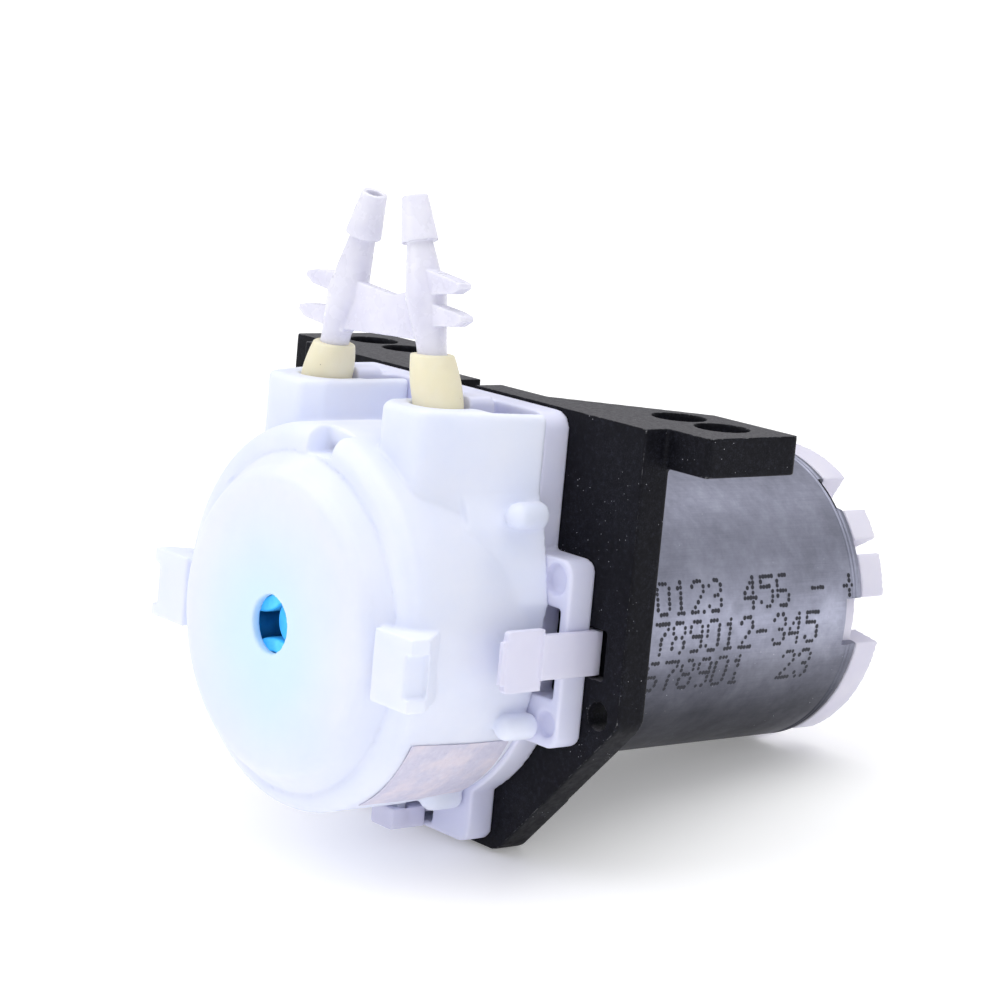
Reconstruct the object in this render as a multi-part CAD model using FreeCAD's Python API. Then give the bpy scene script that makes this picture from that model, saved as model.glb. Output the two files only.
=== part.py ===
"""Small peristaltic pump: snap-together head, moulded bracket and a round DC motor.

Lengths are millimetres. The model is drawn about the pump axis, which runs along Y through
x = 0, z = 0, with y = 0 on the bracket plate's front face, the head on the -Y side and the
motor on the +Y side. At export everything moves so that the origin is the centre of the
line of ear holes, on the ears' top face.
"""
import FreeCAD, Part
import math
import os

V = FreeCAD.Vector
AXIS_Y = V(0, 1, 0)
UP = V(0, 0, 1)

# Mounting bracket
PLATE_HALF_W = 44.5
PLATE_T = 5.4
PLATE_TOP = 37.9
PLATE_BOTTOM = -35.7
PLATE_CORNER_Z = -9.1
PLATE_FOOT_HALF_W = 18.4
EAR_HALF_SPAN = 53.7
EAR_FRONT = 4.5
EAR_BACK = 23.3
EAR_T = 6.2
EAR_ROOT_X = 14.1
EAR_INNER_X = 34.6
EAR_HOLE_Y = 15.0
EAR_HOLES_X = (35.2, 45.1)
EAR_HOLE_R = 4.3
SIDE_HOLE = (39.7, -8.05)
SIDE_HOLE_R = 2.25
TOP_NOTCH_HALF_W = 2.6
TOP_NOTCH_DEPTH = 3.2

# Cover and rear housing
CAP_FRONT = -35.1
CAP_WALL = 1.6
CAP_HOLE_R = 4.66
LABEL_Y = (-26.6, -6.2)
LABEL_DEG = (-60, -29)
LABEL_T = 0.15
CAP_R = 25.0
DOME_ROUND = 2.4
SHOULDER_ROUND = 3.0
VALLEY_R = 27.3
VALLEY_Y = -30.4
SHOULDER_Y = -30.9
DRUM_R = 31.0
DRUM_BACK_R = 30.6
DRUM_RISE = 0.7
DRUM_WALL = 1.8
TAPER_Y = -15.0
MOAT_FRONT = -26.4
RACE_R = 24.9
RACE_WALL = 2.0
RACE_FRONT = -28.0
SPLIT_Y = -5.0
COLLAR_GAP_X = (0.4, 6.8)
FLANGE_R = 30.8
STRIP_HALF_W = 26.8
STRIP_TOP = 37.5
LUG_REACH = 36.2
LUG_Z = (-14.2, 15.8)
LUG_RECESSES = ((2.5, 32.5, 12.4), (2.1, 33.3, -10.5))
FOOT_LUG_REACH = 34.4
FOOT_LUG_HALF_W = 17.0
PEG_R = 2.1
PEG_FRONT = -12.1
PEG_BACK = -5.1
PEGS = ((28.4, 21.8), (30.2, -11.4), (13.4, -27.1))

# Ports, pump tube and twin connector
PORT_X = 14.8
PORT_Y = -16.9
PORT_TOP = 37.2
PORT_FLOOR = 27.0
PORT_PLAN = ((8.2, -5.0), (8.2, -21.8), (11.0, -24.9), (20.4, -24.9), (27.2, -5.0))
PORT_POCKET_PLAN = ((9.8, -4.0), (9.8, -12.9), (10.4, -13.4), (10.4, PORT_Y), (19.2, PORT_Y), (19.2, -13.4),
                    (20.7, -12.9), (23.1, -12.9), (25.9, -4.0))
CHANNEL_R = 6.2
# Cover's outer wall below the ports: (x at the seam, z), and how much narrower it is at the front
SHOULDER_EDGE = ((30.1, 0.0), (31.6, 8.2), (29.2, 19.7), (27.2, 25.0))
SHOULDER_FLARE = 4.1
SHOULDER_FRONT = -17.0
TUBE_R = 4.0
TUBE_BORE_R = 2.4
TUBE_TOPS = {-1: 42.6, 1: 44.6}
LEAN_START_Z = 37.0
LEAN_IN = {-1: 1.4, 1: 2.6}
LOOP_R = 23.3
LOOP_HALF_T = 1.5
LOOP_HALF_W = 5.3
LOOP_START_DEG = 45.0
OVAL_MIN = 0.01
BEND_START_Z = 26.0
BARB_TOPS = {-1: (-6.0, 67.6), 1: (4.4, 68.3)}
# Grip fins of each side: (height, reach in x)
FINS = {-1: ((46.3, 22.4), (52.0, 21.0)), 1: ((50.3, 20.2), (55.2, 19.0))}
BARB_LENGTH = 7.3
BARB_R = 2.95
BARB_END_R = 2.05
WAIST_RISE = 7.5
WAIST_R = 3.3
BARB_BORE_R = 1.25
ROOT_ABOVE_TUBE = 1.2

# Rotor
ORBIT_R = 12.6
ROLLER_R = 8.9
ROLLER_FRONT = -31.4
ROLLER_BACK = -9.6
ROLLER_PHASE_DEG = 135.0
PIN_R = 1.5
PIN_CLEARANCE = 0.05
SLEEVE_R = 3.6
CARRIER_R = 20.4
CARRIER_POST_R = 3.0
CARRIER_POST_ORBIT = 15.6

# Latches: rho is the distance from the pump axis, t runs across the latch
LATCH_BAR_R = 0.9
SIDE_T0 = 0.8
SIDE_PIVOT_Y = -11.9
SIDE_BAR_RHO = 34.3
FOOT_T0 = 3.3
FOOT_PIVOT_Y = -9.2
FOOT_BAR_RHO = 32.6

# Motor
CAN_R = 26.0
CAN_WALL = 1.6
CAN_FRONT = PLATE_T
CAN_BACK = 70.7
CAN_GROOVES_Y = (68.5, 69.3)
CAP_TEETH_BACK = 75.9
PILOT_R = 7.5
SHAFT_R = 2.5
SHAFT_FRONT = -28.6
BEARING_BORE_R = 2.54
MOTOR_SCREW_X = 12.5
# Gaps in the end cap's toothed rim, and the rim notches of the can as (from, to, depth in Y)
GAP_ANGLES_DEG = ((-9.8, 8.1), (24.8, 30.4), (43.0, 58.4), (100, 118), (150, 166), (196, 214), (246, 262),
                  (280, 298))
CAN_NOTCHES = ((-9.8, 8.1, 66.9), (43.0, 58.4, 69.3))


def box(x0, x1, y0, y1, z0, z1):
    return Part.makeBox(x1 - x0, y1 - y0, z1 - z0, V(x0, y0, z0))


def rod(r, y0, y1, x=0.0, z=0.0):
    """Cylinder along Y."""
    return Part.makeCylinder(r, y1 - y0, V(x, y0, z), AXIS_Y)


def ring(r_out, r_in, y0, y1, x=0.0, z=0.0):
    return rod(r_out, y0, y1, x, z).cut(rod(r_in, y0 - 1, y1 + 1, x, z))


def post(r, x, y, z0, z1):
    """Cylinder along Z."""
    return Part.makeCylinder(r, z1 - z0, V(x, y, z0))


def prism(points, direction):
    wire = Part.makePolygon([V(*p) for p in points] + [V(*points[0])])
    return Part.Face(wire).extrude(V(*direction))


def lathe(profile):
    """Revolve a closed (radius, y) outline about the pump axis."""
    wire = Part.makePolygon([V(r, y, 0) for r, y in profile + profile[:1]])
    return Part.Face(wire).revolve(V(0, 0, 0), AXIS_Y, 360)


def fuse(shapes):
    first, rest = shapes[0], shapes[1:]
    return first.multiFuse(rest).removeSplitter() if rest else first


def cut(shape, tools):
    return shape.cut(Part.makeCompound(tools)).removeSplitter()


def mirror_x(shape):
    return shape.mirror(V(0, 0, 0), V(1, 0, 0))


def turned(shape, degrees):
    copy = shape.copy()
    copy.rotate(V(0, 0, 0), AXIS_Y, degrees)
    return copy


def on_circle(radius, degrees):
    """(x, z) of a point on a circle about the pump axis, counted from +X towards +Z."""
    a = math.radians(degrees)
    return radius * math.cos(a), radius * math.sin(a)


def wedge(r, y0, y1, deg0, deg1):
    """Solid pie slice about the pump axis between two angles."""
    arc_points = [on_circle(r, deg0 + (deg1 - deg0) * k / 6.0) for k in range(7)]
    outline = [(0, y0, 0)] + [(x, y0, z) for x, z in arc_points]
    return prism(outline, (0, y1 - y0, 0))


def upright_edges(shape, direction, keep):
    """Straight edges along a direction whose midpoint passes the keep test."""
    found = []
    for edge in shape.Edges:
        if edge.Curve.TypeId != "Part::GeomLine":
            continue
        run = edge.Vertexes[-1].Point.sub(edge.Vertexes[0].Point)
        along = abs(run.normalize().dot(V(*direction)))
        middle = edge.CenterOfMass
        if along > 0.999 and keep(middle):
            found.append(edge)
    return found


# ---------------------------------------------------------------- bracket
def latch_pockets():
    side = box(34.4, 40.0, -1, 2.2, SIDE_T0 - 3.3, SIDE_T0 + 4.6)
    foot = box(29.0, 33.4, -1, 2.7, FOOT_T0 - 3.2, FOOT_T0 + 3.2)
    return [side, mirror_x(side), turned(foot, 90)]


def mounting_bracket():
    w, foot = PLATE_HALF_W, PLATE_FOOT_HALF_W
    outline = [(-w, PLATE_TOP), (w, PLATE_TOP), (w, PLATE_CORNER_Z), (foot, PLATE_BOTTOM),
               (-foot, PLATE_BOTTOM), (-w, PLATE_CORNER_Z)]
    plate = prism([(x, 0, z) for x, z in outline], (0, PLATE_T, 0))
    corners = upright_edges(plate, (0, 1, 0), lambda m: m.z < 0)
    plate = plate.makeFillet(4.0, corners)
    plan = [(EAR_ROOT_X, PLATE_T - 1), (PLATE_HALF_W - 1, PLATE_T - 1), (PLATE_HALF_W - 1, EAR_FRONT),
            (EAR_HALF_SPAN, EAR_FRONT), (EAR_HALF_SPAN, EAR_BACK), (EAR_INNER_X, EAR_BACK),
            (EAR_ROOT_X, PLATE_T)]
    ear = prism([(x, y, PLATE_TOP - EAR_T) for x, y in plan], (0, 0, EAR_T))
    tips = upright_edges(ear, (0, 0, 1), lambda m: m.x > EAR_HALF_SPAN - 0.1)
    ear = ear.makeFillet(0.8, tips)
    body = fuse([plate, ear, mirror_x(ear)])
    holes = []
    for side in (-1, 1):
        holes += [post(EAR_HOLE_R, side * x, EAR_HOLE_Y, PLATE_TOP - EAR_T - 1, PLATE_TOP + 1)
                  for x in EAR_HOLES_X]
        holes.append(rod(SIDE_HOLE_R, -1, PLATE_T + 1, side * SIDE_HOLE[0], SIDE_HOLE[1]))
        holes.append(rod(1.7, -1, PLATE_T + 1, side * MOTOR_SCREW_X, 0))
    holes.append(rod(PILOT_R + 0.1, -1, PLATE_T + 1))
    holes.append(box(-TOP_NOTCH_HALF_W, TOP_NOTCH_HALF_W, -1, PLATE_T + 1,
                     PLATE_TOP - TOP_NOTCH_DEPTH, PLATE_TOP + 1))
    return cut(body, holes + latch_pockets())


# ---------------------------------------------------------------- rear housing and cover
def windowed_lugs():
    """Three lugs on the flange ring that the latches hold, each with its window."""
    z0, z1 = LUG_Z
    side = box(24, LUG_REACH, SPLIT_Y, 0, z0, z1)
    side = side.makeFillet(2.4, upright_edges(side, (0, 1, 0), lambda m: m.x > 30))
    foot = box(-FOOT_LUG_HALF_W, FOOT_LUG_HALF_W, SPLIT_Y, 0, -FOOT_LUG_REACH, -26)
    foot = foot.makeFillet(2.4, upright_edges(foot, (0, 1, 0), lambda m: m.z < -30))
    return [side, mirror_x(side), foot]


def rear_housing():
    strip = box(-STRIP_HALF_W, STRIP_HALF_W, SPLIT_Y, 0, 0, STRIP_TOP)
    strip = strip.makeFillet(3.0, upright_edges(strip, (0, 1, 0), lambda m: m.z > 30))
    spigot = ring(DRUM_R - DRUM_WALL - 0.15, RACE_R + RACE_WALL + 0.15, SPLIT_Y - 2.6, SPLIT_Y + 1)
    spigot = spigot.cut(box(-DRUM_R, DRUM_R, -9, SPLIT_Y, 12, DRUM_R))
    saddles = []
    for side in (-1, 1):
        block = box(12.0, 17.4, PORT_Y + TUBE_R + 0.25, -7.8, PORT_FLOOR + 0.5, 38.6)
        block = block.makeFillet(1.2, upright_edges(block, (0, 1, 0), lambda m: m.z > 30))
        saddle = block.fuse(box(12.0, 14.2, -8.5, SPLIT_Y + 1, PORT_FLOOR + 0.5, STRIP_TOP))
        saddles.append(saddle if side > 0 else mirror_x(saddle))
    body = fuse([rod(FLANGE_R, SPLIT_Y, 0), strip, spigot] + windowed_lugs() + saddles)
    side_window = box(28.6, 34.3, -9, 1, -6.4, 8.0)
    foot_window = turned(box(30.5, 33.4, -9, 1, FOOT_T0 - 4.2, FOOT_T0 + 4.2), 90)
    recesses = [rod(r, SPLIT_Y - 1, SPLIT_Y + 1.2, x, z) for r, x, z in LUG_RECESSES]
    holes = [side_window, mirror_x(side_window), foot_window, rod(PILOT_R + 0.1, -9, 1),
             rod(14.0, -9, SPLIT_Y + 1.2)]
    holes += recesses + [mirror_x(r) for r in recesses]
    for side in (-1, 1):
        holes.append(rod(1.7, -9, 1, side * MOTOR_SCREW_X, 0))
        holes.append(rod(3.1, -9, SPLIT_Y + 2.4, side * MOTOR_SCREW_X, 0))
    return cut(body, holes)


def lifted(shape):
    """The drum's outside is centred a little above the pump axis."""
    shape.translate(V(0, 0, DRUM_RISE))
    return shape


def quarter_round(r, y, radius, degrees):
    """Outline points that round the outer front corner of a lathe, from the front to the side."""
    turns = [math.radians(a) for a in degrees]
    return [(r - radius * (1 - math.sin(a)), y + radius * (1 - math.cos(a))) for a in turns]


def cover_shell():
    """Domed cap on a rounded drum, with the race ring inside."""
    dome = [(0, CAP_FRONT)] + quarter_round(CAP_R, CAP_FRONT, DOME_ROUND, range(0, 90, 15))
    dome = lathe(dome + [(VALLEY_R, VALLEY_Y), (VALLEY_R, RACE_FRONT), (0, RACE_FRONT)])
    shoulder = quarter_round(DRUM_R, SHOULDER_Y, SHOULDER_ROUND, range(0, 105, 15))
    drum = lathe([(0, SHOULDER_Y)] + shoulder + [(DRUM_R, TAPER_Y), (DRUM_BACK_R, SPLIT_Y), (0, SPLIT_Y)])
    groove = lathe([(0, SHOULDER_Y - 1), (VALLEY_R + 0.7, SHOULDER_Y - 1), (VALLEY_R, VALLEY_Y), (0, VALLEY_Y)])
    ceiling_y = CAP_FRONT + CAP_WALL
    ceiling = lathe([(0, ceiling_y), (22.4, ceiling_y), (23.4, ceiling_y + 1.0), (23.4, RACE_FRONT + 1),
                     (0, RACE_FRONT + 1)])
    moat = ring(DRUM_R - DRUM_WALL, RACE_R + RACE_WALL, MOAT_FRONT, SPLIT_Y + 1)
    for k in range(6):
        web = box(RACE_R, DRUM_R, -27, SPLIT_Y - 3.0, -0.7, 0.7)
        moat = moat.cut(turned(web, 60 * k + 20))
    body = fuse([dome, lifted(drum).cut(groove)])
    return cut(body, [ceiling, moat, rod(CAP_HOLE_R, CAP_FRONT - 1, RACE_FRONT), rod(RACE_R, RACE_FRONT, SPLIT_Y)])


def mirrored_pair(shape):
    return [shape, mirror_x(shape)]


def port_tower():
    """Upright box round one tube: narrow face in front, outer wall slanting out to the seam."""
    tower = prism([(x, y, 17.0) for x, y in PORT_PLAN], (0, 0, PORT_TOP - 17.0))
    tower = tower.makeFillet(2.2, upright_edges(tower, (0, 0, 1), lambda m: m.y < SPLIT_Y - 1))
    rim = [e for e in tower.Edges if e.BoundBox.ZMin > PORT_TOP - 0.01 and e.BoundBox.YMin < SPLIT_Y - 1]
    return tower.makeFillet(1.1, rim)


def port_shoulder():
    """Wall that carries the tower's outer side down into the drum."""
    sections = []
    for x, z in SHOULDER_EDGE:
        corners = [V(12, SHOULDER_FRONT, z), V(x - SHOULDER_FLARE, SHOULDER_FRONT, z), V(x, SPLIT_Y, z),
                   V(12, SPLIT_Y, z)]
        sections.append(Part.makePolygon(corners + corners[:1]))
    return Part.makeLoft(sections, True, True)


def port_channel():
    """Room for the tube: a snug throat and pocket above, a wide channel down to the race."""
    pocket = prism([(x, y, PORT_FLOOR) for x, y in PORT_POCKET_PLAN], (0, 0, PORT_TOP + 1 - PORT_FLOOR))
    throat = post(TUBE_R + 0.4, PORT_X, PORT_Y, PORT_FLOOR - 1, PORT_TOP + 1)
    channel = post(CHANNEL_R, PORT_X, PORT_Y, 15.0, PORT_FLOOR)
    open_back = box(PORT_X - CHANNEL_R, PORT_X + CHANNEL_R, PORT_Y, SPLIT_Y + 1, 15.0, PORT_FLOOR)
    return pocket.fuse(throat).fuse(channel).fuse(open_back)


def pull_tab():
    plan = [(25.6, -34.0), (35.2, -34.0), (35.2, -30.6), (30.8, -25.4), (25.6, -27.0)]
    tab = prism([(x, y, -6.2) for x, y in plan], (0, 0, 11.4))
    return tab.cut(box(33.8, 36, -34.5, -30.0, -4.1, 2.8))


def latch_bar(rho, y, t, half_t):
    """Hinge bar and its stem at 3 o'clock."""
    stem = box(29.4, rho, y - 0.9, y + 0.9, t - 1.5, t + 1.5)
    return stem.fuse(post(LATCH_BAR_R, rho, y, t - half_t, t + half_t)).removeSplitter()


def peg(x, z):
    """Round-ended boss along the drum."""
    shank = rod(PEG_R, PEG_FRONT + PEG_R, PEG_BACK, x, z)
    rear = [e for e in shank.Edges if e.BoundBox.YMin > PEG_BACK - 0.01]
    shank = shank.makeFillet(0.8, rear)
    return shank.fuse(Part.makeSphere(PEG_R, V(x, PEG_FRONT + PEG_R, z))).removeSplitter()


def front_cover():
    cavity = rod(RACE_R, RACE_FRONT, SPLIT_Y)
    drum_inside = rod(DRUM_R - DRUM_WALL, MOAT_FRONT, SPLIT_Y + 1)
    side_bar = latch_bar(SIDE_BAR_RHO, SIDE_PIVOT_Y, SIDE_T0, 4.0)
    foot_bar = turned(latch_bar(FOOT_BAR_RHO, FOOT_PIVOT_Y, FOOT_T0, 2.6), 90)
    pegs = [peg(x, z).cut(drum_inside) for x, z in PEGS]
    pairs = []
    for shape in [port_tower().cut(cavity), port_shoulder().cut(drum_inside), pull_tab(), side_bar] + pegs:
        pairs += mirrored_pair(shape)
    body = fuse([cover_shell(), foot_bar] + pairs)
    gap = box(COLLAR_GAP_X[0], COLLAR_GAP_X[1], -32.0, -26.6, 27.4, 32.0)
    return cut(body, mirrored_pair(port_channel()) + [gap, cavity])


def label_sticker():
    """Thin label on the lower right of the drum, ahead of where the drum draws in."""
    y0, y1 = LABEL_Y
    back_r = DRUM_R - (DRUM_R - DRUM_BACK_R) * (y1 - TAPER_Y) / (SPLIT_Y - TAPER_Y)
    band = ring(DRUM_R + LABEL_T, DRUM_R, y0, TAPER_Y)
    tail = lathe([(DRUM_R, TAPER_Y), (DRUM_R + LABEL_T, TAPER_Y), (back_r + LABEL_T, y1), (back_r, y1)])
    return lifted(band.fuse(tail).removeSplitter().common(wedge(DRUM_R + 9, y0, y1, *LABEL_DEG)))


# ---------------------------------------------------------------- latches
def side_latch():
    """Rocker clip at 3 o'clock: finger pad in front, arm and hook behind."""
    t = SIDE_T0
    pad = box(35.7, 37.1, -17.0, -9.8, t - 4.7, t + 5.0)
    pad = pad.makeFillet(0.6, upright_edges(pad, (1, 0, 0), lambda m: m.y < -16.9))
    nose = box(35.9, 36.9, -17.8, -16.9, t - 3.4, t + 3.4)
    knuckle = box(33.0, 36.2, -13.4, -10.3, t - 3.6, t + 3.6)
    arm = box(36.35, 37.6, -10.4, 1.5, t - 2.9, t + 4.2)
    hook = box(35.0, 37.6, 0.25, 1.5, t - 2.9, t + 4.2)
    body = fuse([pad, nose, knuckle, arm, hook])
    socket = post(LATCH_BAR_R + PIN_CLEARANCE, SIDE_BAR_RHO, SIDE_PIVOT_Y, -6, 8)
    mouth = box(31, SIDE_BAR_RHO, SIDE_PIVOT_Y - 0.75, SIDE_PIVOT_Y + 0.75, -6, 8)
    slot = box(31, SIDE_BAR_RHO + 1.2, SIDE_PIVOT_Y - 1.3, -9.0, t - 1.8, t + 1.8)
    return cut(body, [socket, mouth, slot])


def foot_latch():
    """Shorter clip at 6 o'clock whose arm passes through the lug's window."""
    t = FOOT_T0
    pad = box(30.8, 34.4, -12.0, -5.3, t - 2.9, t + 2.9)
    pad = pad.makeFillet(0.6, upright_edges(pad, (0, 1, 0), lambda m: m.x > 34))
    arm = box(30.85, 32.0, -7.6, 2.0, t - 2.6, t + 2.6)
    hook = box(29.5, 32.0, 0.4, 2.0, t - 2.6, t + 2.6)
    body = fuse([pad, arm, hook])
    socket = post(LATCH_BAR_R + PIN_CLEARANCE, FOOT_BAR_RHO, FOOT_PIVOT_Y, -9, 6)
    mouth = box(30, FOOT_BAR_RHO, FOOT_PIVOT_Y - 0.75, FOOT_PIVOT_Y + 0.75, -9, 6)
    slot = box(30, FOOT_BAR_RHO + 1.2, FOOT_PIVOT_Y - 1.5, FOOT_PIVOT_Y + 1.4, t - 1.8, t + 1.8)
    return turned(cut(body, [socket, mouth, slot]), 90)


# ---------------------------------------------------------------- tube and connector
def oval_section(centre, normal, half_radial, half_width):
    """Closed oval wire across the tube; its long axis lies along Y."""
    radial = AXIS_Y.cross(normal)
    curve = Part.Ellipse(centre + AXIS_Y * half_width, centre + radial * half_radial, centre)
    return Part.Wire([curve.toShape()])


def lean_run(side, z0, z1):
    """Step from height z0 to z1 along the free end of a tube, which leans inwards from the port."""
    slope = LEAN_IN[side] / (TUBE_TOPS[side] - LEAN_START_Z)
    return V(-side * slope * (z1 - z0), 0, z1 - z0)


def tube_side(side, top, shrink):
    """Port tube, its leaning free end and the short stretch that flattens towards the loop."""
    a = math.radians(LOOP_START_DEG)
    bend_start = V(PORT_X, PORT_Y, BEND_START_Z)
    bend_end = V(LOOP_R * math.cos(a), PORT_Y, LOOP_R * math.sin(a))
    round_end = oval_section(bend_start, V(0, 0, -1), TUBE_R - shrink, TUBE_R + OVAL_MIN - shrink)
    flat_end = oval_section(bend_end, V(math.sin(a), 0, -math.cos(a)), LOOP_HALF_T - 0.7 * shrink,
                            LOOP_HALF_W - shrink)
    stem = Part.Face(round_end).extrude(V(0, 0, LEAN_START_Z - BEND_START_Z))
    lean_end = oval_section(V(PORT_X, PORT_Y, LEAN_START_Z), V(0, 0, -1), TUBE_R - shrink,
                            TUBE_R + OVAL_MIN - shrink)
    run = lean_run(side, LEAN_START_Z, top)
    free_end = Part.Face(lean_end).extrude(V(-abs(run.x), 0, run.z))
    taper = Part.makeLoft([round_end, flat_end], True, True)
    tube = stem.fuse(free_end).fuse(taper)
    return tube if side > 0 else mirror_x(tube)


def loop_band(shrink):
    """The squeezed part of the tube lying against the race."""
    a = math.radians(LOOP_START_DEG)
    centre = V(LOOP_R * math.cos(a), PORT_Y, LOOP_R * math.sin(a))
    section = oval_section(centre, V(math.sin(a), 0, -math.cos(a)), LOOP_HALF_T - 0.7 * shrink,
                           LOOP_HALF_W - shrink)
    return Part.Face(section).revolve(V(0, 0, 0), AXIS_Y, 180 + 2 * LOOP_START_DEG)


def pump_tube():
    wall = TUBE_R - TUBE_BORE_R
    outer, inner = [loop_band(0)], [loop_band(wall)]
    for side, top in TUBE_TOPS.items():
        outer.append(tube_side(side, top, 0))
        inner.append(tube_side(side, top + 1, wall))
    return outer[0].multiFuse(outer[1:]).cut(inner[0].multiFuse(inner[1:]))


def connector_axis(side):
    """Foot of the root in the pump tube, top of the root, barb tip, and the stem's direction."""
    foot = V(side * PORT_X, PORT_Y, LEAN_START_Z)
    root_top = foot + lean_run(side, LEAN_START_Z, TUBE_TOPS[side] + ROOT_ABOVE_TUBE)
    tip = V(BARB_TOPS[side][0], PORT_Y, BARB_TOPS[side][1])
    return foot, root_top, tip, tip.sub(root_top).normalize()


def round_section(centre, normal, radius):
    return oval_section(centre, normal, radius, radius + OVAL_MIN)


def barb_side(side):
    """One barbed tube: root in the pump tube, swelling at the web, slim neck, barb."""
    foot, root_top, tip, lean = connector_axis(side)
    neck = tip - lean * BARB_LENGTH
    root = round_section(foot, UP, TUBE_BORE_R - 0.01), round_section(root_top, UP, TUBE_BORE_R - 0.01)
    stem = round_section(root_top + lean * WAIST_RISE, lean, WAIST_R), round_section(neck, lean, BARB_END_R)
    barb = round_section(neck, lean, BARB_R), round_section(tip, lean, BARB_END_R)
    return [Part.makeLoft([*root, *stem], True, True), Part.makeLoft([*barb], True, True)]


def barb_bore(side):
    foot, root_top, tip, lean = connector_axis(side)
    waist = root_top + lean * WAIST_RISE
    ends = (foot - UP, UP), (foot, UP), (root_top, UP), (waist, lean), (tip + lean, lean)
    return Part.makeLoft([round_section(centre, normal, BARB_BORE_R) for centre, normal in ends], True, True)


def grip_fin(side, z, tip):
    """Leaf-shaped finger grip standing out from one stem."""
    plan = [(10.0, z - 1.6), (tip - 1.9, z - 0.6), (tip, z + 0.5), (tip - 0.3, z + 1.3), (tip - 2.3, z + 1.7),
            (10.0, z + 2.4)]
    return prism([(side * x, PORT_Y - 1.3, level) for x, level in plan], (0, 2.6, 0))


def twin_barb_connector():
    solids = []
    for side in (-1, 1):
        solids += barb_side(side) + [grip_fin(side, *fin) for fin in FINS[side]]
    web = prism([(-13.0, PORT_Y - 1.0, 45.0), (13.0, PORT_Y - 1.0, 46.6), (10.6, PORT_Y - 1.0, 54.8),
                 (2.0, PORT_Y - 1.0, 52.4), (-11.6, PORT_Y - 1.0, 53.6)], (0, 2.0, 0))
    return fuse(solids + [web]).cut(Part.makeCompound([barb_bore(-1), barb_bore(1)]))


# ---------------------------------------------------------------- rotor
def roller_angles():
    return [ROLLER_PHASE_DEG + 120 * k for k in range(3)]


def roller(degrees):
    """Hollow-ended roller: bright rim, deep cup, hub round the pin."""
    x, z = on_circle(ORBIT_R, degrees)
    body = rod(ROLLER_R, ROLLER_FRONT, ROLLER_BACK, x, z)
    rims = [e for e in body.Edges if e.Curve.TypeId == "Part::GeomCircle"]
    body = body.makeFillet(0.5, rims)
    cups = [ring(ROLLER_R - 2.3, 3.2, ROLLER_FRONT - 1, ROLLER_FRONT + 7, x, z),
            ring(ROLLER_R - 2.3, 3.2, ROLLER_BACK - 7, ROLLER_BACK + 1, x, z),
            rod(4.0, ROLLER_FRONT - 1, ROLLER_FRONT + 1.2, x, z),
            rod(PIN_R + PIN_CLEARANCE, ROLLER_FRONT - 1, ROLLER_BACK + 1, x, z)]
    return cut(body, cups)


def roller_pin(degrees):
    x, z = on_circle(ORBIT_R, degrees)
    return rod(PIN_R, -32.9, -7.4, x, z)


def carrier_holes(y0, y1):
    return [rod(PIN_R, y0, y1, *on_circle(ORBIT_R, a)) for a in roller_angles()]


def carrier_front():
    disc = ring(CARRIER_R, 8.6, -33.1, -31.7)
    spigots = [rod(1.5, -34, -31, *on_circle(CARRIER_POST_ORBIT, a + 60)) for a in roller_angles()]
    arms = [rod(3.4, -33.1, -31.7, *on_circle(ORBIT_R, a)) for a in roller_angles()]
    return cut(fuse([disc] + arms), carrier_holes(-34, -31) + spigots)


def carrier_rear():
    disc = ring(CARRIER_R, 4.4, -9.2, -6.8)
    posts = []
    for a in roller_angles():
        x, z = on_circle(CARRIER_POST_ORBIT, a + 60)
        posts += [rod(CARRIER_POST_R, -31.7, -9.0, x, z), rod(1.5, -32.9, -31.0, x, z)]
    return cut(fuse([disc] + posts), carrier_holes(-10, -7.4))


def drive_sleeve():
    return rod(SLEEVE_R, SHAFT_FRONT - 2.0, -8.4).cut(rod(SHAFT_R, SHAFT_FRONT, -8.0))


def carrier_washer():
    return ring(9.0, PILOT_R + 0.1, SPLIT_Y - 0.9, SPLIT_Y + 1.2)


# ---------------------------------------------------------------- motor
def can_grooves():
    """Outline points of the rolled grooves near the can's open end."""
    points = []
    for y in CAN_GROOVES_Y:
        points += [(CAN_R, y - 0.35), (CAN_R - 0.2, y), (CAN_R, y + 0.35)]
    return points


def motor_can():
    shell = lathe([(5.5, 0.4), (PILOT_R, 0.4), (PILOT_R, CAN_FRONT), (CAN_R - 1.2, CAN_FRONT),
                   (CAN_R - 0.35, CAN_FRONT + 0.35), (CAN_R, CAN_FRONT + 1.2)] + can_grooves()
                  + [(CAN_R, CAN_BACK), (CAN_R - CAN_WALL, CAN_BACK), (CAN_R - CAN_WALL, CAN_FRONT + 2),
                     (5.5, CAN_FRONT + 2)])
    screw_holes = [rod(1.55, 4, 9, side * MOTOR_SCREW_X, 0) for side in (-1, 1)]
    notches = [wedge(CAN_R + 4, y0, CAN_BACK + 1, a, b).cut(rod(CAN_R - CAN_WALL, 60, 80))
               for a, b, y0 in CAN_NOTCHES]
    return cut(shell, screw_holes + notches)


def motor_end_cap():
    inner = CAN_R - CAN_WALL - 0.05
    disc = rod(inner, 64.4, CAN_BACK)
    crown = ring(CAN_R, 20.4, CAN_BACK, CAP_TEETH_BACK)
    gaps = [wedge(CAN_R + 4, CAN_BACK, CAP_TEETH_BACK + 1, a, b) for a, b in GAP_ANGLES_DEG]
    hub = rod(8.0, 62.9, 73.0)
    body = fuse([disc, crown.cut(Part.makeCompound(gaps)), hub])
    holes = [rod(5.0, 62, 69.9), rod(SHAFT_R + 0.4, 60, 71.5)]
    holes += [box(s * 14 - 2.4, s * 14 + 2.4, 60, 80, -0.4, 0.4) for s in (-1, 1)]
    return cut(body, holes)


def motor_shaft():
    return rod(SHAFT_R, SHAFT_FRONT, 71.2)


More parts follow.
